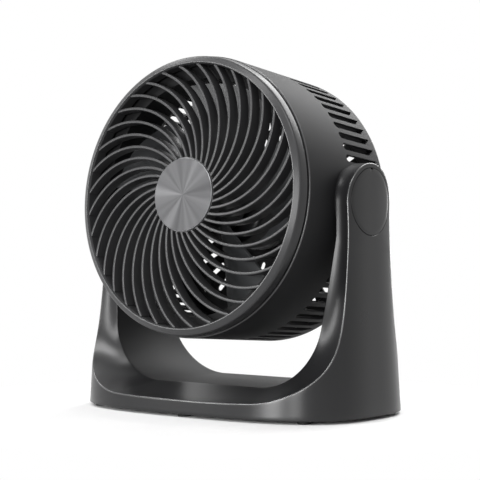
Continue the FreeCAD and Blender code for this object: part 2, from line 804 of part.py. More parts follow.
spin(impeller, [
    ("impeller_radius", "impeller_back - 30"),
    ("impeller_radius + 40", "impeller_back - 30"),
    ("impeller_radius + 40", "impeller_front + 30"),
    ("impeller_radius", "impeller_front + 30"),
], "Groove")
spin(impeller, [
    ("shaft_radius", "impeller_back"),
    ("impeller_hub_radius", "impeller_back"),
    ("impeller_hub_radius", "impeller_front", "impeller_hub_radius * 0.3"),
    ("shaft_radius", "impeller_front"),
])
on_fan_axis(impeller)

# impeller_nut: domed nut that holds the impeller on the shaft
on_fan_axis(turned("impeller_nut", [
    ("shaft_radius", "impeller_front"),
    ("shaft_radius + 6", "impeller_front"),
    ("shaft_radius + 6", "shaft_front + 3", "3"),
    ("0", "shaft_front + 3"),
    ("0", "shaft_front"),
    ("shaft_radius", "shaft_front"),
]))

# motor: two bells round a laminated stator, two windings, two bearings, rotor and shaft
on_fan_axis(turned("motor_shaft", [
    ("0", "motor_back + 3"),
    ("shaft_radius", "motor_back + 3"),
    ("shaft_radius", "shaft_front"),
    ("0", "shaft_front"),
]))
on_fan_axis(turned("rotor_core", [
    ("shaft_radius", "motor_split_back"),
    ("stator_bore_radius - rotor_gap", "motor_split_back"),
    ("stator_bore_radius - rotor_gap", "motor_split_front"),
    ("shaft_radius", "motor_split_front"),
]))
on_fan_axis(turned("stator_core", [
    ("stator_bore_radius", "motor_split_back"),
    ("motor_radius", "motor_split_back"),
    ("motor_radius", "motor_split_front"),
    ("stator_bore_radius", "motor_split_front"),
]))
motor_ends = {"front": ("motor_front", "motor_split_front", "-"), "rear": ("motor_back", "motor_split_back", "+")}
for end, (outer, split, inward) in motor_ends.items():
    outward = "+" if inward == "-" else "-"
    bell = turned("motor_" + end + "_bell", [
        ("bearing_radius", outer),
        ("motor_radius", outer, "4"),
        ("motor_radius", split),
        ("motor_radius - motor_wall", split),
        ("motor_radius - motor_wall", "%s %s motor_wall" % (outer, inward), "2"),
        ("bearing_radius + motor_wall", "%s %s motor_wall" % (outer, inward)),
        ("bearing_radius + motor_wall", "%s %s bearing_length" % (outer, inward)),
        ("bearing_radius", "%s %s bearing_length" % (outer, inward)),
    ])
    if end == "rear":
        drill(bell, "motor_back + 5", "6", "motor_screw_reach", "screw_radius + screw_fit")
    on_fan_axis(bell)
    on_fan_axis(turned("motor_" + end + "_bearing", [
        ("shaft_radius + running_gap", outer),
        ("bearing_radius", outer),
        ("bearing_radius", "%s %s bearing_length" % (outer, inward)),
        ("shaft_radius + running_gap", "%s %s bearing_length" % (outer, inward)),
    ]))
    on_fan_axis(turned("winding_" + end, [
        ("stator_bore_radius + 1", split),
        ("winding_radius", split),
        ("winding_radius", "%s %s winding_height" % (split, outward), "2"),
        ("stator_bore_radius + 1", "%s %s winding_height" % (split, outward), "2"),
    ]))

# rear_cover: domed back grille with two rings of slots, a motor cup and a seat for switch and gland
rear = new_body("rear_blank", False)
skin = "rear_cover_wall"
back_face = "(-drum_back - cover_dome)"
fit_radius = "(back_opening_radius - rear_fit_gap)"
inside_lip = "drum_wall - drum_back"
spin(rear, [
    ("switch_bush_radius", back_face),
    ("mount_radius + 6", back_face),
    (fit_radius, "-drum_back", "2"),
    (fit_radius, inside_lip),
    ("rear_flange_radius", inside_lip),
    ("rear_flange_radius", inside_lip + " + " + skin),
    (fit_radius + " - " + skin, inside_lip + " + " + skin),
    (fit_radius + " - 2 * " + skin, "-drum_back + " + skin + " / 2"),
    ("mount_radius + 6", back_face + " + " + skin),
    ("mount_radius", back_face + " + " + skin),
    ("mount_radius", "motor_back"),
    ("bearing_radius + 3", "motor_back"),
    ("bearing_radius + 3", "motor_back - " + skin),
    ("mount_radius - " + skin, "motor_back - " + skin),
    ("mount_radius - " + skin, back_face + " + " + skin),
    ("switch_bush_radius", back_face + " + " + skin),
])
gland_sketch = new_sketch(rear, "XY_Plane", "motor_back")
circles(gland_sketch, ("0", "-gland_reach", "gland_radius"))
push(rear, gland_sketch, "Pocket", "drum_back + cover_dome")
drill(rear, "motor_back", "drum_back + cover_dome", "rear_screw_reach", "screw_radius + screw_fit")
drill(rear, "motor_back + 1", "rear_cover_wall + 3", "motor_screw_reach", "screw_radius + screw_fit")
half = size("rear_slot_width") / 2
cutters = []
for start, end, first, step, count in (
    (size("inner_slot_start"), size("inner_slot_end"), 0, 15, 24),
    (size("outer_slot_start"), size("outer_slot_end"), -70, 10, 33),
):
    points = [
        Vector(start + half, -half),
        Vector(end - half, -half),
        Vector(end, 0),
        Vector(end - half, half),
        Vector(start + half, half),
        Vector(start, 0),
    ]
    edges = [
        Part.makeLine(points[0], points[1]),
        Part.Arc(*points[1:4]).toShape(),
        Part.makeLine(points[3], points[4]),
        Part.Arc(points[4], points[5], points[0]).toShape(),
    ]
    prism = Part.Face(Part.Wire(edges)).extrude(Vector(0, 0, -2 * size("drum_back")))
    for index in range(count):
        cutters.append(prism.rotated(Vector(), Vector(0, 0, 1), first + index * step))
on_fan_axis(slotted("rear_cover", rear, cutters))

# screws through the drum's back edge into the cover, and through the cover's cup into the motor
on_fan_axis(formed("rear_cover_screws", screw_ring(5, size("rear_screw_reach"), -size("drum_back"))))
motor_seat = size("motor_back") - size("rear_cover_wall")
on_fan_axis(formed("motor_screws", screw_ring(4.6, size("motor_screw_reach"), motor_seat)))

# rotary_switch: square case inside the cover with a bush through it
switch = new_body("rotary_switch")
case_back = "(rear_cover_wall - drum_back - cover_dome)"
case_sketch = new_sketch(switch, "XY_Plane", case_back)
outline(case_sketch, [
    ("-switch_half_width", "-switch_half_width"),
    ("switch_half_width", "-switch_half_width"),
    ("switch_half_width", "switch_half_width"),
    ("-switch_half_width", "switch_half_width"),
])
push(switch, case_sketch, "Pad", "switch_front - " + case_back)
spin(switch, [
    ("0", "knob_front + 0.5"),
    ("switch_bush_radius", "knob_front + 0.5"),
    ("switch_bush_radius", case_back),
    ("0", case_back),
])
shaft_hole = "switch_shaft_radius + running_gap"
spin(switch, [
    ("0", "knob_front - 1"),
    (shaft_hole, "knob_front - 1"),
    (shaft_hole, case_back + " + 6"),
    ("0", case_back + " + 6"),
], "Groove")
on_fan_axis(switch)

# switch_shaft and speed_knob: the knob has a raised bar to grip
on_fan_axis(turned("switch_shaft", [
    ("0", "knob_back + 4"),
    ("switch_shaft_radius", "knob_back + 4"),
    ("switch_shaft_radius", case_back + " + 5.7"),
    ("0", case_back + " + 5.7"),
]))
knob = new_body("speed_knob")
knob_disc = "(knob_front - knob_disc_thickness)"
spin(knob, [
    ("0", knob_disc),
    ("knob_radius", knob_disc, "1.5"),
    ("knob_radius", "knob_front"),
    ("0", "knob_front"),
])
bar_sketch = new_sketch(knob, "XY_Plane", "knob_back")
outline(bar_sketch, [
    ("-knob_bar_half_width", "1.5 - knob_radius", "2"),
    ("knob_bar_half_width", "1.5 - knob_radius", "2"),
    ("knob_bar_half_width", "knob_radius - 1.5", "2"),
    ("-knob_bar_half_width", "knob_radius - 1.5", "2"),
])
push(knob, bar_sketch, "Pad", knob_disc + " - knob_back")
spin(knob, [
    ("0", "knob_back + 4"),
    ("switch_shaft_radius", "knob_back + 4"),
    ("switch_shaft_radius", "knob_front + 1"),
    ("0", "knob_front + 1"),
], "Groove")
on_fan_axis(knob)

# cord_gland: rubber bush in the lower part of the cover
dome_rise = "cover_dome * (gland_reach - mount_radius - 6) / (%s - mount_radius - 6)" % fit_radius
gland_seat = "(-drum_back - cover_dome + " + dome_rise + ")"
gland = turned("cord_gland", [
    ("gland_bore_radius", gland_seat + " - 3"),
    ("gland_radius + 1.5", gland_seat + " - 3", "1"),
    ("gland_radius + 1.5", gland_seat + " - 0.7"),
    ("gland_radius", gland_seat + " - 0.7"),
    ("gland_radius", gland_seat + " + 6"),
    ("gland_bore_radius", gland_seat + " + 6"),
])
on_fan_axis(gland)
gland.setExpression("Placement.Base.y", bound("-gland_reach * sin(rest_tilt)"))
gland.setExpression("Placement.Base.z", bound("pivot_height - gland_reach * cos(rest_tilt)"))

# export
os.makedirs("parts", exist_ok=True)
doc.recompute()
for item in doc.Objects:
    if "Invalid" in item.State or "Error" in item.State:
        raise RuntimeError(item.Name + " did not build")
for node in nodes:
    if node.Shape.isNull() or not node.Shape.isValid():
        raise RuntimeError(node.Label + " has no valid shape")
    node.Shape.exportStep("parts/" + node.Label + ".step")
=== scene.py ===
import math

import bmesh
import bpy
from mathutils import Matrix, Vector
from mathutils.kdtree import KDTree


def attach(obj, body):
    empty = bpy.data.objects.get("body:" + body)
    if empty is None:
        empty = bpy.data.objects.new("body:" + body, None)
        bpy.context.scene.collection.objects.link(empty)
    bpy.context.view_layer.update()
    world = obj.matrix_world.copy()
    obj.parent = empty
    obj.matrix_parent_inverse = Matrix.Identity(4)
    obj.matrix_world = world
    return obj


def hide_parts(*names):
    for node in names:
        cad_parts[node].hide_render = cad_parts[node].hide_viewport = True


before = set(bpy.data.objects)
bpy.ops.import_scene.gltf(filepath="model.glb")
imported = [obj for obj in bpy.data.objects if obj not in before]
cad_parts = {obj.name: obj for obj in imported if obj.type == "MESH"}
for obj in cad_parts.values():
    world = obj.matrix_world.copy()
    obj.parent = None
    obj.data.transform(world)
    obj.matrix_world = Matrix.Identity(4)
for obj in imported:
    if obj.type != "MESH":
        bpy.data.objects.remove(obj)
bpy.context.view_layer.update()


# Stand shell: the base and both arms in one injection moulding of charcoal ABS, open at the bottom.
# A lip runs along the channel under the head. It faces forward on the arms and turns until it is
# almost flat along the front, and a plate screwed on from below closes the shell.

# sizes are in millimetres: z up from the floor, x to the right and y to the back
MM = 0.001
PIVOT_HEIGHT = 177.7
SHELL_BOTTOM, SHELL_WALL = 2.6, 2.6
# the wall is a superellipse in plan and leans in towards the top
HALF_WIDTH, HALF_DEPTH, POWER = 141.3, 87.3, 3.06
WAIST_HEIGHT, WAIST_INSET = 60.0, 3.0
TOP_HEIGHT, TOP_INSET = 209.5, 5.8
# an arm: its inner face, its round top and the opening for the lid
ARM_FACE, HEAD_RADIUS = 121.0, 31.8
LID_RADIUS, LID_GAP = 27.6, 0.25
OPENING_BREAK, OPENING_DEPTH = 0.4, 3.0
# seen from the front, the channel's edge and the lip's outer guide: a flat run, a bend, then the arm
CREASE_FLAT, CREASE_LEVEL, CREASE_BEND = 54.0, 24.5, 58.0
LIP_FLAT, LIP_LEVEL, LIP_BEND, LIP_TOP = 75.0, 14.4, 56.0, 225.4
ARM_LEAN = math.radians(7.3)
# seen from the side, their depth: the same all up the arm, then more and more towards the bottom
STRAIGHT_FROM, ARM_HALF_DEPTH = 150.0, 31.0
CREASE_SPREAD, CREASE_POWER = 14.0, 1.27
LIP_SPREAD, LIP_POWER = 40.0, 5.5
# the lip is a little hollow, fully so from a certain width, and both its edges are rounded
LIP_HOLLOW, FULL_HOLLOW_WIDTH = 1.5, 18.0
LIP_RADIUS, CREASE_RADIUS, LIP_SEGMENTS = 0.9, 0.7, 3
FOOT_RADIUS, INNER_WALL = 1.0, 4.0
# heights at which the lower wall gives way to the arm's side, and the side to rings round the lid
SIDE_FROM, RINGS_FROM = 62.0, PIVOT_HEIGHT - 40
# faces along and across the surfaces
FLAT_STEPS, BEND_STEPS, ARM_STEPS, TOP_STEPS, HEAD_STEPS = 10, 30, 22, 8, 24
LIP_STEPS, CHANNEL_STEPS, SIDE_STEPS, LOWER_STEPS = 6, 16, 16, 6
# how near points count as one, and how near an edge's line counts as on it
STAND_WELD, ON_EDGE = 0.02, 0.1
SHARP_ANGLE, FACE_WEIGHT = 35, 80


def wall_inset(z):
    """How far the outer wall leans in at a height: none at the bottom, most at the arms' top."""
    low_slope = WAIST_INSET / (WAIST_HEIGHT - SHELL_BOTTOM)
    high_slope = (TOP_INSET - WAIST_INSET) / (TOP_HEIGHT - WAIST_HEIGHT)
    bend = (high_slope - low_slope) / (TOP_HEIGHT - SHELL_BOTTOM)
    return (z - SHELL_BOTTOM) * (low_slope + bend * (z - WAIST_HEIGHT))


def wall_at(turn, z, inset=0.0):
    """Point of the superellipse wall at an angle and a height, drawn in by an inset."""
    across, along = math.cos(turn), math.sin(turn)
    reach = (abs(across) ** POWER + abs(along) ** POWER) ** (-1 / POWER)
    drawn_in = wall_inset(z) + inset
    return Vector(((HALF_WIDTH - drawn_in) * across * reach, (HALF_DEPTH - drawn_in) * along * reach, z))


def wall_turn(point):
    """Angle at which a wall point lies."""
    drawn_in = wall_inset(point.z)
    return math.atan2(point.y / (HALF_DEPTH - drawn_in), point.x / (HALF_WIDTH - drawn_in))


def wall_from_side(y, z):
    """Point of the right-hand wall at a depth and a height."""
    drawn_in = wall_inset(z)
    share = 1 - (abs(y) / (HALF_DEPTH - drawn_in)) ** POWER
    return Vector(((HALF_WIDTH - drawn_in) * share ** (1 / POWER), y, z))


def meet_wall(near, far):
    """Point where a line from the channel's edge through a guide point leaves through the wall."""
    # the wall lies somewhere between these shares of the way to the guide point
    low, high = 0.2, 1.5
    for _ in range(40):
        middle = (low + high) / 2
        point = near.lerp(far, middle)
        drawn_in = wall_inset(point.z)
        outside = (abs(point.x) / (HALF_WIDTH - drawn_in)) ** POWER
        outside += (abs(point.y) / (HALF_DEPTH - drawn_in)) ** POWER
        low, high = (low, middle) if outside > 1 else (middle, high)
    return near.lerp(far, low)


def crease_depth(z):
    """How far the channel's edge lies in front of the pivot at a height."""
    share = max(0.0, (STRAIGHT_FROM - z) / (STRAIGHT_FROM - CREASE_LEVEL))
    return ARM_HALF_DEPTH + CREASE_SPREAD * share ** CREASE_POWER


def lip_depth(z):
    """How far the lip's outer guide lies in front of the pivot at a height."""
    share = max(0.0, (STRAIGHT_FROM - z) / (STRAIGHT_FROM - LIP_LEVEL))
    return crease_depth(z) + LIP_SPREAD * share ** LIP_POWER


def bend_point(flat, level, radius, turn):
    """Point of a guide's bend, which starts at the end of its flat run."""
    return flat + radius * math.sin(turn), level + radius * (1 - math.cos(turn))


def lip_pairs():
    """Points on the channel's edge and on the lip's outer edge, from the front middle up the right arm."""
    guides = []
    for k in range(FLAT_STEPS):
        share = k / FLAT_STEPS
        guides.append(((CREASE_FLAT * share, CREASE_LEVEL), (LIP_FLAT * share, LIP_LEVEL)))
    for k in range(BEND_STEPS + 1):
        turn = k / BEND_STEPS * (math.pi / 2 - ARM_LEAN)
        crease = bend_point(CREASE_FLAT, CREASE_LEVEL, CREASE_BEND, turn)
        guides.append((crease, bend_point(LIP_FLAT, LIP_LEVEL, LIP_BEND, turn)))
    (bend_x, bend_z), (lip_x, lip_z) = guides[-1]
    for k in range(1, ARM_STEPS + 1):
        z = bend_z + (STRAIGHT_FROM - bend_z) * k / ARM_STEPS
        share = (z - bend_z) / (LIP_TOP - bend_z)
        inner_x = min(bend_x + (z - bend_z) * math.tan(ARM_LEAN), ARM_FACE)
        guides.append(((inner_x, z), (lip_x, lip_z + share * (LIP_TOP - lip_z))))
    pairs = []
    for (x, z), (far_x, far_z) in guides:
        near = Vector((x, -crease_depth(z), z))
        far = Vector((far_x, -lip_depth(far_z), far_z))
        pairs.append((near, meet_wall(near, far)))
    for k in range(1, TOP_STEPS + 1):
        share = k / TOP_STEPS
        z = STRAIGHT_FROM + (PIVOT_HEIGHT - STRAIGHT_FROM) * share
        depth = ARM_HALF_DEPTH + (HEAD_RADIUS - ARM_HALF_DEPTH) * share ** 2
        pairs.append((Vector((ARM_FACE, -depth, z)), wall_from_side(-depth, z)))
    return pairs


def to_rear(point):
    """The same point behind the pivot."""
    return Vector((point.x, -point.y, point.z))


def scooped(near, far):
    """Points across the lip, which is a little hollow between its two edges."""
    hollow = LIP_HOLLOW * min(1.0, (far - near).length / FULL_HOLLOW_WIDTH)
    side = Vector((0, 1 if near.y < 0 else -1, 0)) * hollow
    shares = [k / LIP_STEPS for k in range(LIP_STEPS + 1)]
    return [near.lerp(far, share) + side * math.sin(math.pi * share) for share in shares]


def patch(bm, rows, closed=False):
    """Quads between rows of points given in millimetres."""
    grid = [[bm.verts.new(point * MM) for point in row] for row in rows]
    faces = []
    for first, second in zip(grid, grid[1:]):
        for k in range(len(first) if closed else len(first) - 1):
            after = (k + 1) % len(first)
            faces.append(bm.faces.new((first[k], first[after], second[after], second[k])))
    return faces


def close_holes(bm):
    """Fills every open rim with one face."""
    bmesh.ops.holes_fill(bm, edges=[e for e in bm.edges if e.is_boundary], sides=0)


def round_edges(bm, edges, radius, segments):
    """Rounds edges by a radius in millimetres and returns the new faces."""
    made = bmesh.ops.bevel(
        bm, geom=edges, offset=radius * MM, offset_type="OFFSET", segments=segments, profile=0.5,
        affect="EDGES", clamp_overlap=True, material=-1,
    )
    return made["faces"]


def edges_along(bm, places):
    """Edges whose ends both lie on listed places, on the right or the left of the stand."""
    spots = [Vector((flip * place.x, place.y, place.z)) * MM for place in places for flip in (-1, 1)]
    tree = KDTree(len(spots))
    for k, spot in enumerate(spots):
        tree.insert(spot, k)
    tree.balance()
    on_line = {v for v in bm.verts if tree.find(v.co)[2] < ON_EDGE * MM}
    return [e for e in bm.edges if e.verts[0] in on_line and e.verts[1] in on_line]


def add_piece(name, bm, material, body, sharp=SHARP_ANGLE):
    """Turns a bmesh into a smooth-shaded piece that rides on a body."""
    bmesh.ops.recalc_face_normals(bm, faces=bm.faces)
    mesh = bpy.data.meshes.new(name)
    bm.to_mesh(mesh)
    bm.free()
    mesh.polygons.foreach_set("use_smooth", [True] * len(mesh.polygons))
    mesh.set_sharp_from_angle(angle=math.radians(sharp))
    mesh.materials.append(material)
    piece = bpy.data.objects.new(name, mesh)
    bpy.context.scene.collection.objects.link(piece)
    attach(piece, body)
    return piece


def keep_flat(piece):
    """Shades large faces flat right up to their rounded edges."""
    shading = piece.modifiers.new("flat faces", "WEIGHTED_NORMAL")
    shading.keep_sharp = True
    shading.weight = FACE_WEIGHT


def linear(code):
    """sRGB hex colour as linear RGBA."""
    parts = [int(code[k:k + 2], 16) / 255 for k in (1, 3, 5)]
    return tuple(c / 12.92 if c <= 0.04045 else ((c + 0.055) / 1.055) ** 2.4 for c in parts) + (1.0,)


def feed(tree, node, inputs):
    """Sets a node's inputs: another node's output is linked, anything else is a plain value."""
    for key, value in inputs.items():
        if isinstance(value, bpy.types.NodeSocket):
            tree.links.new(value, node.inputs[key])
        else:
            node.inputs[key].default_value = value


def add_node(tree, kind, inputs, **settings):
    """Adds a shader node with its settings, input values and links."""
    node = tree.nodes.new(kind)
    for key, value in settings.items():
        setattr(node, key, value)
    feed(tree, node, inputs)
    return node


def new_material(name, inputs):
    """Starts a material and sets its shader's inputs."""
    material = bpy.data.materials.new(name)
    material.use_nodes = True
    shader = material.node_tree.nodes["Principled BSDF"]
    feed(material.node_tree, shader, inputs)
    return material, material.node_tree, shader


# flow of the melt leaves wide patches that differ very little in gloss
FLOW_PATCH, FLOW_SPREAD = 60.0, 0.015
# real moulding grain is about 0.1 mm across, too fine to show, so it is drawn coarser
MOULD_GRAIN, MOULD_HEIGHT, GRAIN_STRENGTH = 0.35, 0.012, 0.5


def uneven_gloss(tree, shader, rough, patch_size, spread):
    """Lets the roughness wander in patches of a size in millimetres; returns the coordinates used."""
    place = add_node(tree, "ShaderNodeTexCoord", {}).outputs["Object"]
    patches = add_node(tree, "ShaderNodeTexNoise", {
        "Vector": place,
        "Scale": 1 / (patch_size * MM),
        "Detail": 2.0,
    })
    gloss = add_node(tree, "ShaderNodeMapRange", {
        "Value": patches.outputs["Fac"],
        "To Min": rough - spread,
        "To Max": rough + spread,
    })
    feed(tree, shader, {"Roughness": gloss.outputs["Result"]})
    return place


def moulded(name, colour, rough, gloss=0.3, grain=MOULD_GRAIN, height=MOULD_HEIGHT):
    """Moulded or painted surface with a fine grain in relief; grain and height in millimetres."""
    material, tree, shader = new_material(name, {"Base Color": linear(colour), "Specular IOR Level": gloss})
    place = uneven_gloss(tree, shader, rough, FLOW_PATCH, FLOW_SPREAD)
    noise = add_node(tree, "ShaderNodeTexNoise", {"Vector": place, "Scale": 1 / (grain * MM), "Detail": 2.0})
    bump = add_node(tree, "ShaderNodeBump", {
        "Height": noise.outputs["Fac"],
        "Strength": GRAIN_STRENGTH,
        "Distance": height * MM,
    })
    feed(tree, shader, {"Normal": bump.outputs["Normal"]})
    return material


# satin from a fine-blasted mould: dark walls with broad, soft highlights
stand_plastic = moulded("charcoal ABS, satin", "#1b1b1c", 0.28, 0.33)
# a coarser blast in the channel: an even dark grey with hardly a highlight
channel_plastic = moulded("charcoal ABS, matt in the channel", "#1c1c1d", 0.6, 0.15)
# the mould is polished where the lip meets the wall, so the edge is glossier, and it is also painted lighter
# than the wall: a painted highlight, a thin bright line along the edge
polished_and_painted_highlight_edge = moulded("charcoal ABS, polished along the lip's edge", "#303031", 0.24, 0.9)
CHANNEL_FACES, PAINTED_HIGHLIGHT_EDGE_FACES = 1, 2
pairs = lip_pairs()
head_arc = []
for k in range(1, HEAD_STEPS):
    turn = math.pi * k / HEAD_STEPS
    y, z = -HEAD_RADIUS * math.cos(turn), PIVOT_HEIGHT + HEAD_RADIUS * math.sin(turn)
    head_arc.append((Vector((ARM_FACE, y, z)), wall_from_side(y, z)))
rear_pairs = [(to_rear(near), to_rear(far)) for near, far in reversed(pairs)]
rim = pairs + head_arc + rear_pairs
split = next(k for k, pair in enumerate(pairs) if pair[1].z > SIDE_FROM)
neck = next(k for k, pair in enumerate(pairs) if pair[1].z > RINGS_FROM)
bm = bmesh.new()
# lip and arm rim, then the channel between the two creases and the arm's inner face
patch(bm, [scooped(near, far) for near, far in rim])
channel = []
for near, _ in pairs:
    channel.append([near.lerp(to_rear(near), k / CHANNEL_STEPS) for k in range(CHANNEL_STEPS + 1)])
for face in patch(bm, channel):
    face.material_index = CHANNEL_FACES
bm.faces.new([bm.verts.new(near * MM) for near, _ in [pairs[-1]] + head_arc + [rear_pairs[0]]])
# arm's side up to the neck, then rings of faces in to the lid's opening and down into it
sides = []
for _, edge in pairs[split:neck + 1]:
    shares = [1 - 2 * k / SIDE_STEPS for k in range(SIDE_STEPS + 1)]
    sides.append([wall_from_side(edge.y * share, edge.z) for share in shares])
patch(bm, sides)
border = [far for _, far in pairs[neck:] + head_arc] + [to_rear(far) for _, far in reversed(pairs[neck:])]
border += list(reversed(sides[-1]))[1:-1]
rings = []
for share, grow, sink in (
    (0.0, OPENING_BREAK, 0.0),
    (0.5, OPENING_BREAK, 0.0),
    (1.0, OPENING_BREAK, 0.0),
    (1.0, 0.0, OPENING_BREAK),
    (1.0, 0.0, OPENING_DEPTH),
):
    ring = []
    for point in border:
        away = Vector((0, point.y, point.z - PIVOT_HEIGHT))
        opening = away.normalized() * (LID_RADIUS + LID_GAP + grow)
        spot = away.lerp(opening, share)
        ring.append(wall_from_side(spot.y, PIVOT_HEIGHT + spot.z) - Vector((sink, 0, 0)))
    rings.append(ring)
patch(bm, rings, closed=True)
# lower wall down to a rounded bottom edge and a short inner wall
tops = [far for _, far in pairs[:split + 1]] + sides[0][1:-1]
tops += [to_rear(far) for _, far in reversed(pairs[:split + 1])]
turns = [wall_turn(point) for point in tops]
foot_edge = SHELL_BOTTOM + FOOT_RADIUS
arc_middle = 0.3 * FOOT_RADIUS
lower = []
for k in range(LOWER_STEPS + 1):
    heights = [point.z + (foot_edge - point.z) * k / LOWER_STEPS for point in tops]
    lower.append([wall_at(turn, z) for turn, z in zip(turns, heights)])
for inset, lift in (
    (arc_middle, arc_middle),
    (FOOT_RADIUS, 0.0),
    (SHELL_WALL, 0.0),
    (SHELL_WALL, INNER_WALL),
):
    lower.append([wall_at(turn, SHELL_BOTTOM + lift, inset) for turn in turns])
patch(bm, lower)
bmesh.ops.remove_doubles(bm, verts=bm.verts, dist=STAND_WELD * MM)
bmesh.ops.mirror(
    bm, geom=bm.verts[:] + bm.edges[:] + bm.faces[:], matrix=Matrix(), merge_dist=STAND_WELD * MM, axis="X",
)
bmesh.ops.recalc_face_normals(bm, faces=bm.faces)
# the rounded lip edge takes the lighter edge material: a painted highlight along the lip
for face in round_edges(bm, edges_along(bm, [far for _, far in rim]), LIP_RADIUS, LIP_SEGMENTS):
    face.material_index = PAINTED_HIGHLIGHT_EDGE_FACES
round_edges(bm, edges_along(bm, [near for near, _ in rim]), CREASE_RADIUS, LIP_SEGMENTS)
# the bottom plate hides what is inside, so the skin is closed across it
close_holes(bm)
stand = add_piece("stand_shell", bm, stand_plastic, "stand")
stand.data.materials.append(channel_plastic)
stand.data.materials.append(polished_and_painted_highlight_edge)
keep_flat(stand)
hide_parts("base_shell")


# Pivot lids: round lids moulded in the stand's ABS and pressed into the arms over the pivots.
# They lie flush with the curved wall, with a thin open seam round them and a small notch at the top
# for prying them out.
LID_STEPS, LID_DEPTH = 180, 2.2
NOTCH_HALF_WIDTH, NOTCH_DEPTH, NOTCH_FACE = 1.7, 1.3, 1.0
# rows from the buried edge over a small radius to the face: inset from the rim, sink below the wall
LID_ROWS = ((0.0, LID_DEPTH), (0.0, 0.35), (0.12, 0.1), (0.4, 0.0), (4.0, 0.0), (10.0, 0.0), (18.0, 0.0))
for side, name, node in ((-1, "pivot_lid_left", "arm_cap_left"), (1, "pivot_lid_right", "arm_cap_right")):
    bm = bmesh.new()
    rings = []
    for inset, sink in LID_ROWS:
        ring = []
        for k in range(LID_STEPS):
            turn = 2 * math.pi * k / LID_STEPS
            reach = LID_RADIUS - inset
            at_top = abs(reach * math.cos(turn)) < NOTCH_HALF_WIDTH and math.sin(turn) > 0
            if at_top and inset < NOTCH_FACE:
                reach -= NOTCH_DEPTH
            y, z = reach * math.cos(turn), PIVOT_HEIGHT + reach * math.sin(turn)
            ring.append(Vector((side * (wall_from_side(y, z).x - sink), y, z)))
        rings.append(ring)
    patch(bm, rings, closed=True)
    close_holes(bm)
    lid = add_piece(name, bm, stand_plastic, "stand")
    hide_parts(node)


# Bottom plate, feet and fixings keep their CAD form. The plate is the stand's ABS and is screwed on
# from below, the feet and the cord's bush are rubber, the pivot pins and their washers are nylon,
# and the screws and the motor's shaft are plated steel.
SPECK_SIZE, SPECK_SPREAD = 0.8, 0.08


def paint(material, *names):
    """Gives CAD nodes a material."""
    for name in names:
        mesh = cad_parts[name].data
        mesh.materials.clear()
        mesh.materials.append(material)


def metal(name, colour, rough):
    """Bare or plated metal whose gloss varies in specks, drawn coarser than real ones to show."""
    material, tree, shader = new_material(name, {"Base Color": linear(colour), "Metallic": 1.0})
    uneven_gloss(tree, shader, rough, SPECK_SIZE, SPECK_SPREAD)
    return material


# dull and nearly black, with a fine grain that keeps highlights off
rubber = moulded("black rubber", "#161616", 0.75, 0.3, 0.2, 0.02)
# grey mirror with a slight haze from the plating
zinc_steel = metal("zinc-plated steel", "#8c8c89", 0.32)
# creamy white with a waxy gloss
nylon = moulded("natural nylon", "#d8d5cc", 0.5, 0.5)
paint(stand_plastic, "base_cover")
paint(rubber, *[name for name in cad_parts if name.startswith("foot_")], "cord_gland")
paint(zinc_steel, "cover_screws", "rear_cover_screws", "motor_screws", "pivot_screws", "motor_shaft")
paint(nylon, "friction_washer_left", "friction_washer_right", "pivot_pin_left", "pivot_pin_right")


# Drum: the head's housing, one ABS moulding with a stepped front for the grille and a rounded back
# edge. Air slots whose back ends are cut on a slant go over its top and under its bottom, and a boss
# on each side meets the arm and takes the pivot pin.

# the head's own frame has its z axis along the fan's axis, tilted up from level by some degrees
HEAD_TILT = 4.84
HEAD = Matrix.Translation((0, 0, PIVOT_HEIGHT * MM)) @ Matrix.Rotation(math.radians(90 - HEAD_TILT), 4, "X")
to_head = HEAD.inverted()
WELD = 0.001
RIM_STEPS, RIM_FRONT, GLOSS_AND_PAINTED_HIGHLIGHT_FACES = 288, 63.6, 1
# radius, height along the fan's axis and, where an edge is rounded, the radius of the rounding
DRUM_OUTLINE = (
    # the rim's outer edge, and the step that carries the grille
    (119.1, 64.7, 0.9), (115.4, 64.7), (115.4, 71), (113.2, 71), (113.2, 62.2),
    # the wall's inside, the turned-in back and its outer edge
    (116.6, 62.2), (114.9, -49.5, 3.5), (100, -49.5), (100, -52, 0.6), (117.4, -52, 6),
)
# a slot has a round front end and a slanted back end; its cutter goes right through the wall
SLOT_WIDTH, SLOT_FRONT, SLOT_SHORT, SLOT_LONG = 6.2, 6.0, -33.0, -42.0
SLOT_ROUND_STEPS = 8
CUT_FROM, CUT_TO = 108.0, 126.0
# slots in a run, its length in degrees, and where the two runs start from the right-hand pivot
SLOT_COUNT, SLOT_ARC, SLOT_STARTS = 29, 144, (18, 198)
BOSS_RADIUS, BOSS_ROOT, BOSS_FACE, BOSS_EDGE, BOSS_STEPS = 29, 110, 120.6, 1.2, 96


def rounded(corners, steps=6):
    """Outline through corners (radius, height) with arcs where a third value gives a fillet."""
    points = []
    for k, corner in enumerate(corners):
        here = Vector(corner[:2])
        if len(corner) == 2:
            points.append(here)
            continue
        before = (Vector(corners[k - 1][:2]) - here).normalized()
        after = (Vector(corners[(k + 1) % len(corners)][:2]) - here).normalized()
        half = before.angle(after) / 2
        centre = here + (before + after).normalized() * (corner[2] / math.sin(half))
        start = here + before * (corner[2] / math.tan(half)) - centre
        end = here + after * (corner[2] / math.tan(half)) - centre
        sweep = start.angle_signed(end)
        for step in range(steps + 1):
            points.append(centre + Matrix.Rotation(-sweep * step / steps, 2) @ start)
    return points


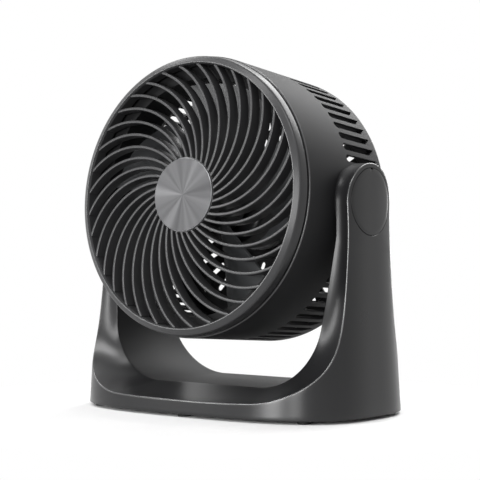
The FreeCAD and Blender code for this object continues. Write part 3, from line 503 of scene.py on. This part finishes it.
def lathe(bm, points, steps, matrix, closed=True):
    """Spins an outline of (radius, height) round the z axis and sets it in place."""
    before = set(bm.verts)
    verts = [bm.verts.new((point.x * MM, 0, point.y * MM)) for point in points]
    ends = verts[1:] + verts[:1] if closed else verts[1:]
    edges = [bm.edges.new(pair) for pair in zip(verts, ends)]
    bmesh.ops.spin(
        bm, geom=verts + edges, axis=(0, 0, 1), cent=(0, 0, 0), steps=steps, angle=2 * math.pi,
        use_merge=True,
    )
    made = [v for v in bm.verts if v not in before]
    bmesh.ops.remove_doubles(bm, verts=made, dist=WELD * MM)
    made = [v for v in bm.verts if v not in before]
    bmesh.ops.transform(bm, matrix=matrix, verts=made)


# a coarse blast: the drum stays dark, with a broad faint sheen along its top
head_plastic = moulded("charcoal ABS of the drum, satin", "#1e1e1f", 0.58, 0.15)
# a smooth mould face, glossier than the drum and painted lighter than the drum's own ABS: a painted
# highlight, a clear light line round the front; on the grille's crest it is glossier but a shade darker than
# the grille
rim_gloss_and_painted_highlight = moulded("charcoal ABS of the drum's rim, smooth and painted lighter", "#2b2b2c", 0.28, 0.5)
bm = bmesh.new()
lathe(bm, rounded(DRUM_OUTLINE), RIM_STEPS, HEAD)
# the rim's faces take the lighter rim material: a painted highlight line round the drum's front
for face in bm.faces:
    if (to_head @ face.calc_center_median()).z > RIM_FRONT * MM:
        face.material_index = GLOSS_AND_PAINTED_HIGHLIGHT_FACES
drum = add_piece("drum", bm, head_plastic, "head")
drum.data.materials.append(rim_gloss_and_painted_highlight)
slot_shape = [(SLOT_WIDTH / 2, SLOT_SHORT), (-SLOT_WIDTH / 2, SLOT_LONG)]
for k in range(SLOT_ROUND_STEPS + 1):
    turn = math.pi * (1 - k / SLOT_ROUND_STEPS)
    slot_shape.append((SLOT_WIDTH / 2 * math.cos(turn), SLOT_FRONT - SLOT_WIDTH / 2 * (1 - math.sin(turn))))
bm = bmesh.new()
for start in SLOT_STARTS:
    for index in range(SLOT_COUNT):
        turn = start + index * SLOT_ARC / (SLOT_COUNT - 1) - 90
        place = HEAD @ Matrix.Rotation(math.radians(turn), 4, "Z")
        face = bm.faces.new([bm.verts.new(place @ (Vector((x, CUT_FROM, d)) * MM)) for x, d in slot_shape])
        made = bmesh.ops.extrude_face_region(bm, geom=[face])["geom"]
        through = place.to_3x3() @ Vector((0, (CUT_TO - CUT_FROM) * MM, 0))
        bmesh.ops.translate(bm, vec=through, verts=[v for v in made if isinstance(v, bmesh.types.BMVert)])
bmesh.ops.recalc_face_normals(bm, faces=bm.faces)
cutter_mesh = bpy.data.meshes.new("slot_cutter")
bm.to_mesh(cutter_mesh)
bm.free()
cutter = bpy.data.objects.new("slot_cutter", cutter_mesh)
bpy.context.scene.collection.objects.link(cutter)
cut = drum.modifiers.new("slots", "BOOLEAN")
cut.object = cutter
cut.solver = "EXACT"
drum_mesh = bpy.data.meshes.new_from_object(drum.evaluated_get(bpy.context.evaluated_depsgraph_get()))
drum.modifiers.clear()
drum.data = drum_mesh
drum_mesh.set_sharp_from_angle(angle=math.radians(SHARP_ANGLE))
bpy.data.objects.remove(cutter)
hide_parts("drum_housing")
boss_outline = rounded([
    (0, BOSS_ROOT), (BOSS_RADIUS, BOSS_ROOT), (BOSS_RADIUS, BOSS_FACE, BOSS_EDGE), (0, BOSS_FACE),
])
bm = bmesh.new()
for side in (-1, 1):
    sideways = Matrix.Rotation(math.radians(90 * side), 4, "Y")
    lathe(bm, boss_outline, BOSS_STEPS, Matrix.Translation((0, 0, PIVOT_HEIGHT * MM)) @ sideways)
add_piece("pivot_bosses", bm, head_plastic, "head")


# Inside the drum: air duct, motor and switch keep their CAD form. The duct is moulded in black ABS.
# The motor has painted bells over a stack of stamped steel, wound coils and pressed-in bearings, and
# the switch has a black plastic case.

# nearly black and matt: the space behind the slats stays dark
duct_plastic = moulded("black ABS inside the drum", "#0b0b0c", 0.6, 0.2)
# semi-gloss with the fine orange peel of sprayed paint
black_paint = moulded("black motor paint", "#1b1b1c", 0.45, 0.5, 1.2, 0.03)
# dull grey metal
lamination = metal("stamped motor steel", "#6f7073", 0.45)
# reddish brown with a lacquer's shine
copper = metal("enamelled copper", "#9a4a22", 0.35)
# dull brownish yellow, from the open grain of the sintered powder
bronze = metal("sintered bronze", "#8a6a3a", 0.5)
# plain black with a soft sheen
switch_plastic = moulded("black switch case", "#1a1a1a", 0.55, 0.5)
paint(duct_plastic, "air_duct")
paint(black_paint, "motor_front_bell", "motor_rear_bell")
paint(lamination, "stator_core", "rotor_core")
paint(copper, "winding_front", "winding_rear")
paint(bronze, "motor_front_bearing", "motor_rear_bearing")
paint(switch_plastic, "rotary_switch", "switch_shaft")


# Impeller: hub and twisted blades in one moulding of black polypropylene, held on the motor's shaft
# by a nut. It is a copy of its CAD form that rests BLADE_TURN degrees further round.
BLADE_TURN = 9.0


def merged_copy(node):
    """Copy of a CAD node's mesh with its loose triangles merged."""
    bm = bmesh.new()
    bm.from_mesh(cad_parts[node].data)
    bmesh.ops.remove_doubles(bm, verts=bm.verts, dist=WELD * MM)
    return bm


# smooth and a little waxy: the blades catch soft light behind the slats
blade_plastic = moulded("black polypropylene, smooth", "#303132", 0.4, 0.5, 0.5, 0.006)
bm = merged_copy("impeller")
turned = HEAD @ Matrix.Rotation(math.radians(BLADE_TURN), 4, "Z") @ to_head
bmesh.ops.transform(bm, matrix=turned, verts=bm.verts)
wheel = add_piece("blade_wheel", bm, blade_plastic, "rotor")
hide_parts("impeller")
paint(blade_plastic, "impeller_nut")


# Rear cover and speed knob: ABS mouldings whose edges are broken by a small radius. The cover's
# slots let the air in and four screws hold it; the knob is pushed on the switch's shaft and has a
# raised bar to grip.
EDGE_RADIUS, EDGE_SEGMENTS = 0.4, 2
FLAT_ANGLE, CORNER_ANGLE = math.radians(1), math.radians(40)
SLIVER = 0.0002
# satin: a soft highlight along the grip bar and the knob's edge
knob_plastic = moulded("charcoal ABS of the knob", "#222324", 0.34)
for node, name, material, body, slot in (
    ("rear_cover", "back_grille", head_plastic, "head", "head_plastic"),
    ("speed_knob", "grip_knob", knob_plastic, "knob", "knob_plastic"),
):
    bm = merged_copy(node)
    bmesh.ops.dissolve_limit(bm, angle_limit=FLAT_ANGLE, verts=bm.verts, edges=bm.edges)
    corners = [e for e in bm.edges if len(e.link_faces) == 2 and e.calc_face_angle() > CORNER_ANGLE]
    round_edges(bm, corners, EDGE_RADIUS, EDGE_SEGMENTS)
    bmesh.ops.dissolve_degenerate(bm, edges=bm.edges, dist=SLIVER * MM)
    piece = add_piece(name, bm, material, body)
    keep_flat(piece)
    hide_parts(node)


# Front grille: ring, hub and 36 bowed slats in one ABS moulding that fits over the drum's front step.
# The ring has a narrow flat crest and a sloping outer band. The slats are deep and thin, with flat
# fronts between small radii.
RING_OUTLINE = (
    # the groove that takes the drum's step
    (110.6, 66), (112.9, 66), (112.9, 71), (115.7, 71), (115.7, 66.6),
    # the skirt, the outer band, the crest and the inner edge
    (118.1, 66.6, 0.5), (117.4, 74.8, 3.0), (112.4, 77.5, 0.3), (111.6, 77.5, 0.3), (110.6, 75.5, 0.5),
)
HUB_RADIUS, HUB_FRONT, HUB_EDGE, HUB_STEPS = 31.6, 78.2, 0.3, 144
SEAT_RADIUS, SEAT_FRONT = 31.05, 76.9
# a slat is an arc about a centre beside the fan's axis, and its front falls a little on its way out
BOW_CENTRE, BOW_RADIUS = Vector((4.8, 66.0)), 71.7
SLAT_COUNT, SLAT_FROM, SLAT_TO = 36, 31.3, 111.0
SLAT_HALF, SLAT_ROUND, SLAT_BACK, SLAT_STEPS = 1.15, 0.45, 66.0, 34
SLAT_FALL, FALL_LENGTH = 2.4, 80.4
# faces of the ring beyond this height and radius are its crest
CREST_HEIGHT, CREST_RADIUS = 77, 111
GRILLE_SHARP = 50


def bow_turn(reach):
    """Angle about the bow's centre at which the slat is a distance from the fan axis."""
    away = BOW_CENTRE.length
    corner = math.acos((BOW_RADIUS ** 2 + away ** 2 - reach ** 2) / (2 * BOW_RADIUS * away))
    return math.atan2(-BOW_CENTRE.y, -BOW_CENTRE.x) + corner


# satin and a shade lighter than the drum: each slat shows a soft light front against the dark inside
grille_plastic = moulded("charcoal ABS of the grille, satin", "#323233", 0.3)
bm = bmesh.new()
lathe(bm, rounded(RING_OUTLINE), RIM_STEPS, HEAD)
lathe(bm, rounded([
    (0, SLAT_BACK), (HUB_RADIUS, SLAT_BACK), (HUB_RADIUS, HUB_FRONT, HUB_EDGE),
    (SEAT_RADIUS, HUB_FRONT), (SEAT_RADIUS, SEAT_FRONT), (0, SEAT_FRONT),
]), HUB_STEPS, HEAD)
first_turn, last_turn = bow_turn(SLAT_FROM), bow_turn(SLAT_TO)
rows = []
for k in range(SLAT_STEPS + 1):
    turn = first_turn + (last_turn - first_turn) * k / SLAT_STEPS
    outward = Vector((math.cos(turn), math.sin(turn)))
    middle = BOW_CENTRE + outward * BOW_RADIUS
    front = HUB_FRONT - SLAT_FALL * (middle.length - HUB_RADIUS) / FALL_LENGTH
    section = [(-SLAT_HALF, SLAT_BACK)]
    for side, tilts in ((-1, (90, 60, 30, 0)), (1, (0, 30, 60, 90))):
        for tilt in tilts:
            across = side * (SLAT_HALF - SLAT_ROUND * (1 - math.sin(math.radians(tilt))))
            section.append((across, front - SLAT_ROUND * (1 - math.cos(math.radians(tilt)))))
    section.append((SLAT_HALF, SLAT_BACK))
    rows.append([HEAD @ (Vector((*(middle + outward * across), d)) * MM) / MM for across, d in section])
others = set(bm.verts)
patch(bm, rows, closed=True)
close_holes(bm)
slat_verts = [v for v in bm.verts if v not in others]
slat_faces = [f for f in bm.faces if f.verts[0] not in others]
bmesh.ops.spin(
    bm, geom=slat_verts + slat_faces, axis=HEAD.to_3x3() @ Vector((0, 0, 1)), cent=HEAD.translation,
    steps=SLAT_COUNT - 1, angle=2 * math.pi * (SLAT_COUNT - 1) / SLAT_COUNT, use_duplicate=True,
)
for face in bm.faces:
    middle = to_head @ face.calc_center_median() / MM
    if middle.z > CREST_HEIGHT and math.hypot(middle.x, middle.y) > CREST_RADIUS:
        face.material_index = GLOSS_AND_PAINTED_HIGHLIGHT_FACES
grille = add_piece("spiral_grille", bm, grille_plastic, "head", GRILLE_SHARP)
grille.data.materials.append(rim_gloss_and_painted_highlight)
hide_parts("front_grille")


# Hub cap: a plain disc of dark anodised aluminium with a bright-cut edge, pressed into the grille's hub. It
# is brushed in circles on a lathe, so light fans out from its middle in soft rays, and such light and dark
# rays are also painted into its colour as a painted reflection.
FACE_RADIUS, CAP_RADIUS = 30.5, 30.95
CAP_FRONT, CAP_EDGE, CAP_BACK = 79.5, 79.1, 76.95
FACE_RINGS, RING_SPACING, CAP_STEPS, CAP_SHARP, POLE = 11, 3, 180, 25, 0.1
CUT_FACES = 1
# single brush marks are too fine to show, so their play of light is painted into the colour as light and
# dark rays this wide at the rim: a painted reflection
PAINTED_RAY_WIDTH = 12.9
# the brush marks stretch every highlight across them, into light and dark rays from the middle
cap_metal, tree, shader = new_material("spun aluminium, dark anodised", {
    "Metallic": 1.0,
    "Roughness": 0.40,
    "Anisotropic": 0.8,
    "Anisotropic Rotation": 0.25,
})
along = add_node(tree, "ShaderNodeTangent", {}, direction_type="UV_MAP", uv_map="Around")
place = add_node(tree, "ShaderNodeTexCoord", {})
on_axis = add_node(tree, "ShaderNodeMapping", {
    "Vector": place.outputs["Object"],
    "Location": to_head.translation,
    "Rotation": to_head.to_euler(),
})
in_plane = add_node(tree, "ShaderNodeVectorMath", {
    0: on_axis.outputs["Vector"],
    1: (1, 1, 0),
}, operation="MULTIPLY")
bearing = add_node(tree, "ShaderNodeVectorMath", {0: in_plane.outputs["Vector"]}, operation="NORMALIZE")
# painted reflection: the colour goes lighter and darker in rays round the disc's middle
painted_rays = add_node(tree, "ShaderNodeTexNoise", {
    "Vector": bearing.outputs["Vector"],
    "Scale": CAP_RADIUS / PAINTED_RAY_WIDTH,
    "Detail": 1.0,
})
painted_ray_colours = add_node(tree, "ShaderNodeValToRGB", {"Fac": painted_rays.outputs["Fac"]})
for stop, position, colour in zip(painted_ray_colours.color_ramp.elements, (0.3, 0.7), ("#3b3b3c", "#545455")):
    stop.position = position
    stop.color = linear(colour)
feed(tree, shader, {"Base Color": painted_ray_colours.outputs["Color"], "Tangent": along.outputs["Tangent"]})
# cut with a diamond after anodising: a thin bright circle round the disc
cut_edge = metal("bright-cut aluminium", "#7c7c7e", 0.3)
cap_outline = [(RING_SPACING * k, CAP_FRONT) for k in range(FACE_RINGS)]
cap_outline += [(FACE_RADIUS, CAP_FRONT), (CAP_RADIUS, CAP_EDGE), (CAP_RADIUS, CAP_BACK), (0, CAP_BACK)]
bm = bmesh.new()
lathe(bm, [Vector(point) for point in cap_outline], CAP_STEPS, HEAD, closed=False)
uv = bm.loops.layers.uv.new("Around")
for face in bm.faces:
    middle = to_head @ face.calc_center_median()
    if math.hypot(middle.x, middle.y) > FACE_RADIUS * MM:
        face.material_index = CUT_FACES
    base = math.atan2(middle.y, middle.x)
    for loop in face.loops:
        spot = to_head @ loop.vert.co
        reach = math.hypot(spot.x, spot.y) / MM
        turn = math.atan2(spot.y, spot.x) - base if reach > POLE else 0.0
        turn = (turn + math.pi) % (2 * math.pi) - math.pi + base
        loop[uv].uv = (turn / (2 * math.pi), reach)
cap = add_piece("hub_disc", bm, cap_metal, "head", CAP_SHARP)
cap.data.materials.append(cut_edge)
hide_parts("hub_cap")


# Studio: a pale floor under the fan that fades out a short way off, a white background and soft
# lamps all round. Camera, mirror and glass rays see the background white, and to everything else it
# is a dim fill light. The camera stands where the photograph was taken.
FADE_FROM, FADE_TO, FLOOR_HALF = 0.14, 0.3, 0.7
FILL_LIGHT, WHITE = 0.10, 1.0
LAMP_AIM = Vector((0, 0, 0.15))
# name, place, width and height in metres, power in watts
LAMPS = (
    ("front_left_softbox", (-0.72, -1.2, 1.45), 0.45, 0.45, 12),
    ("front_left_strip", (-0.92, -1.28, 0.42), 0.25, 0.5, 6.5),
    ("front_softbox", (0.06, -1.5, 0.2), 0.36, 0.4, 13),
    ("front_strip", (0.66, -1.46, 0.33), 0.36, 0.64, 10),
    ("front_top_softbox", (-0.1, -0.8, 1.4), 0.4, 0.4, 4),
    ("left_top_softbox", (-1.1, 0.0, 1.5), 0.45, 0.45, 5),
    ("top_right_softbox", (0.55, -0.45, 1.0), 0.4, 0.4, 3),
    ("back_softbox", (0.1, 1.45, 1.15), 1.2, 0.8, 16),
    ("rear_top_softbox", (-0.2, 0.9, 1.75), 0.7, 0.7, 14),
    ("rear_softbox", (-0.35, 1.6, 0.35), 0.7, 0.6, 12),
)
SENSOR, LENS, SHIFT_X, SHIFT_Y = 36, 108.09, -0.0023, -0.0077
CAMERA_TURN, CAMERA_RISE = math.radians(37.92), math.radians(-0.40)
CAMERA_DISTANCE, CAMERA_AIM = 1.26124, Vector((0, 0, 0.150))
scene = bpy.context.scene
scene.view_settings.view_transform = "Standard"
# matt and pale: it shows only the fan's soft shadow
floor_material, tree, shader = new_material("pale studio floor", {
    "Base Color": linear("#f4f4f4"),
    "Roughness": 0.9,
})
place = add_node(tree, "ShaderNodeTexCoord", {})
away = add_node(tree, "ShaderNodeVectorMath", {0: place.outputs["Object"]}, operation="LENGTH")
fade = add_node(tree, "ShaderNodeMapRange", {
    "Value": away.outputs["Value"],
    "From Min": FADE_FROM,
    "From Max": FADE_TO,
})
clear = add_node(tree, "ShaderNodeBsdfTransparent", {})
blend = add_node(tree, "ShaderNodeMixShader", {
    "Fac": fade.outputs["Result"],
    1: shader.outputs["BSDF"],
    2: clear.outputs["BSDF"],
})
feed(tree, tree.nodes["Material Output"], {"Surface": blend.outputs["Shader"]})
floor_mesh = bpy.data.meshes.new("studio_floor")
bm = bmesh.new()
bmesh.ops.create_grid(bm, x_segments=1, y_segments=1, size=FLOOR_HALF)
bm.to_mesh(floor_mesh)
bm.free()
floor_mesh.materials.append(floor_material)
floor = bpy.data.objects.new("studio_floor", floor_mesh)
scene.collection.objects.link(floor)
world = bpy.data.worlds.new("studio")
scene.world = world
world.use_nodes = True
tree = world.node_tree
path = add_node(tree, "ShaderNodeLightPath", {})
seen = add_node(tree, "ShaderNodeMath", {
    0: path.outputs["Is Camera Ray"],
    1: path.outputs["Is Glossy Ray"],
}, operation="MAXIMUM")
seen_or_glass = add_node(tree, "ShaderNodeMath", {
    0: seen.outputs["Value"],
    1: path.outputs["Is Transmission Ray"],
}, operation="MAXIMUM")
strength = add_node(tree, "ShaderNodeMapRange", {
    "Value": seen_or_glass.outputs["Value"],
    "To Min": FILL_LIGHT,
    "To Max": WHITE,
})
feed(tree, tree.nodes["Background"], {"Color": linear("#ffffff"), "Strength": strength.outputs["Result"]})
for name, place, width, height, power in LAMPS:
    light = bpy.data.lights.new(name, "AREA")
    light.shape = "RECTANGLE"
    light.size = width
    light.size_y = height
    light.energy = power
    lamp = bpy.data.objects.new(name, light)
    lamp.location = place
    lamp.rotation_euler = (Vector(place) - LAMP_AIM).to_track_quat("Z", "Y").to_euler()
    scene.collection.objects.link(lamp)
camera = bpy.data.cameras.new("photo_camera")
camera.sensor_width = SENSOR
camera.lens = LENS
camera.shift_x = SHIFT_X
camera.shift_y = SHIFT_Y
eye = bpy.data.objects.new("photo_camera", camera)
back = Vector((
    math.sin(CAMERA_TURN) * math.cos(CAMERA_RISE),
    -math.cos(CAMERA_TURN) * math.cos(CAMERA_RISE),
    math.sin(CAMERA_RISE),
))
eye.location = CAMERA_AIM + back * CAMERA_DISTANCE
eye.rotation_euler = back.to_track_quat("Z", "Y").to_euler()
scene.collection.objects.link(eye)
scene.camera = eye
